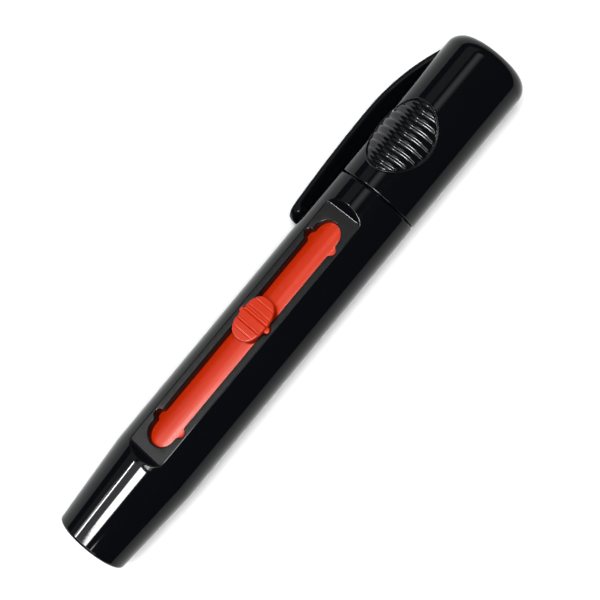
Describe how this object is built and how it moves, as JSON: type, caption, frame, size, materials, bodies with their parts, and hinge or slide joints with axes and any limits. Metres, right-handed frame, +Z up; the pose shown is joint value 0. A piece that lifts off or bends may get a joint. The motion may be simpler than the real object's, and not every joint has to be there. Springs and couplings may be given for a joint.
{
  "type": "lens cleaning pen",
  "caption": "Lens cleaning pen with a slide-out brush worked by a thumb button, and a carbon tip under a pull-off cap with a spring clip.",
  "frame": {"origin": "on the table under the middle of the pen, as it lies on its side", "axes": "+X along the pen towards the cap end, +Y towards the clip's side, +Z up from the table"},
  "size_m": [0.113, 0.02, 0.0176],
  "materials": {
    "gloss_black": "moulded gloss black plastic, matte flat beside the slot",
    "red_plastic": "moulded red plastic, satin gloss",
    "grip_black": "ribbed black plastic",
    "ferrule_metal": "satin metal",
    "resin": "clear amber resin",
    "hair": "soft dark hair",
    "ring_rubber": "black rubber",
    "inner_plastic": "matte dark plastic",
    "foam": "fine open foam",
    "chamois": "napped soft leather with carbon in it",
    "carbon": "pressed carbon powder",
    "felt": "dense felt"
  },
  "bodies": {
    "barrel": {"barrel_shell": "gloss_black", "tip_base": "inner_plastic", "tip_stem": "ring_rubber", "tip_backing": "inner_plastic", "tip_foam": "foam", "chamois_face": "chamois"},
    "brush": {"brush_carriage": "red_plastic", "thumb_button": "red_plastic", "brush_ferrule": "ferrule_metal", "hair_binder": "resin", "brush_bristles": "hair"},
    "cap_ring": {"cap_o_ring": "ring_rubber"},
    "cap": {"cap_shell": "gloss_black", "grip_pad_front": "grip_black", "grip_pad_rear": "grip_black", "tip_sleeve": "inner_plastic", "carbon_cup": "inner_plastic", "carbon_cake": "carbon", "felt_pad": "felt"},
    "clip": {"clip": "gloss_black"}
  },
  "joints": [
    {"name": "brush_slide", "type": "slide", "parent": "barrel", "child": "brush", "axis": [1, 0, 0], "range_m": [-0.0234, 0.0178]},
    {"name": "cap_twist", "type": "hinge", "parent": "barrel", "child": "cap_ring", "pos_m": [0, -0.00173, 0.0086], "axis": [1, 0, 0], "continuous": true},
    {"name": "cap_pull", "type": "slide", "parent": "cap_ring", "child": "cap", "axis": [1, 0, 0], "range_m": [0, 0.036]},
    {"name": "clip_flex", "type": "hinge", "parent": "cap", "child": "clip", "pos_m": [0.0515, 0.00466, 0.00504], "axis": [0, -0.4869, -0.8735], "range_deg": [0, 5], "stiffness_Nm_per_rad": 0.6}
  ]
}
